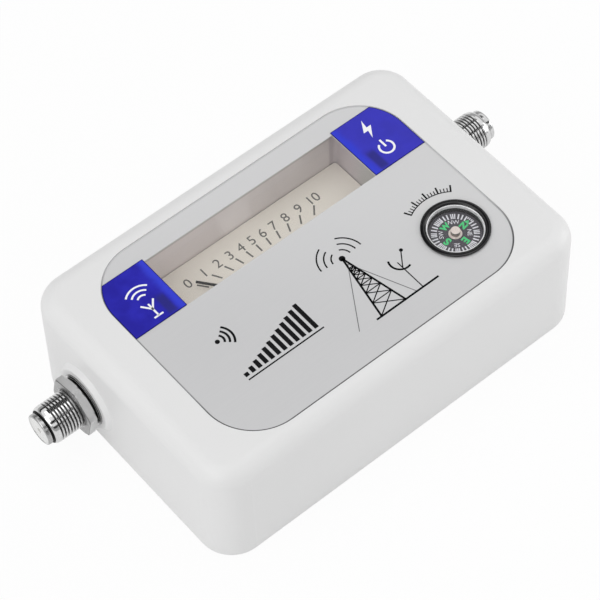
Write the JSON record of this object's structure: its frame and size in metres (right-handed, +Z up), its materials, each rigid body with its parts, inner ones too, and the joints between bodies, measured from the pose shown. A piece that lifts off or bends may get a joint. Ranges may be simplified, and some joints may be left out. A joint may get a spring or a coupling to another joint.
{
  "type": "tv signal finder",
  "caption": "Hand-held aerial signal finder: round-edged box with a window over a moving-coil meter, a small compass in its face and a threaded coaxial socket at each end.",
  "frame": {"origin": "middle of the flat underside", "axes": "+X along the sockets' axis towards the power socket, -Y towards the near long side, +Z up out of the face"},
  "size_m": [0.13, 0.0682, 0.0312],
  "materials": {
    "board_green": "laminate",
    "brass": "turned",
    "capacitor_sleeve": "sleeved can",
    "card_black": "printed card",
    "case_white": "satin",
    "chip_black": "moulded",
    "chip_ceramic": "fired",
    "clear_plastic": "clear",
    "compass_black": "gloss",
    "compass_silver": "polished",
    "contact_gold": "plated",
    "copper_winding": "enamelled wire",
    "ferrite": "sintered",
    "insulator_white": "moulded",
    "jewel_red": "polished",
    "label_silver": "printed film",
    "magnet_dark": "sintered",
    "meter_grey": "moulded",
    "scale_cream": "printed plate",
    "socket_nickel": "nickel plated",
    "soft_iron": "pressed",
    "spring_bronze": "drawn",
    "steel_black": "black",
    "tab_blue": "tinted film",
    "tinplate": "folded",
    "trimmer_blue": "moulded",
    "zinc_screw": "zinc plated"
  },
  "bodies": {
    "housing": {"top_shell": "case_white", "bottom_cover": "case_white", "cover_screws": "zinc_screw", "face_label": "label_silver", "antenna_tab": "tab_blue", "power_tab": "tab_blue", "meter_case": "meter_grey", "meter_screws": "zinc_screw", "meter_cover": "clear_plastic", "scale_plate": "scale_cream", "scale_screws": "zinc_screw", "pointer_stops": "brass", "lower_bridge": "brass", "upper_bridge": "brass", "bridge_screws": "zinc_screw", "yoke_ring": "soft_iron", "core_magnet": "magnet_dark", "core_supports": "brass", "jewel_bearings": "jewel_red", "hairsprings": "spring_bronze", "meter_terminals": "brass", "compass_housing": "compass_black", "compass_lens": "clear_plastic", "compass_ring": "compass_silver", "compass_pin": "zinc_screw", "circuit_board": "board_green", "board_screws": "zinc_screw", "shield_can": "tinplate", "amplifier_chip": "chip_black", "electrolytics": "capacitor_sleeve", "inductors": "ferrite", "gain_trimmer": "trimmer_blue", "voltage_regulator": "chip_black", "chip_parts": "chip_ceramic", "power_socket_body": "socket_nickel", "power_insulator": "insulator_white", "power_contact": "contact_gold", "power_washer": "socket_nickel", "power_nut": "socket_nickel", "antenna_socket_body": "socket_nickel", "antenna_insulator": "insulator_white", "antenna_contact": "contact_gold", "antenna_washer": "socket_nickel", "antenna_nut": "socket_nickel"},
    "pointer_movement": {"pointer": "steel_black", "moving_coil": "copper_winding", "coil_pivots": "zinc_screw"},
    "compass_rose": {"compass_card": "card_black", "compass_cap": "brass", "compass_magnet": "magnet_dark"}
  },
  "joints": [
    {"name": "pointer_sweep", "type": "hinge", "parent": "housing", "child": "pointer_movement", "pos_m": [-0.0005, -0.004, 0.0197], "axis": [0, 0, -1], "range_deg": [0, 76], "stiffness_Nm_per_rad": 0.00002},
    {"name": "compass_turn", "type": "hinge", "parent": "housing", "child": "compass_rose", "pos_m": [0.03, -0.0147, 0.0294], "axis": [0, 0, 1], "continuous": true}
  ]
}
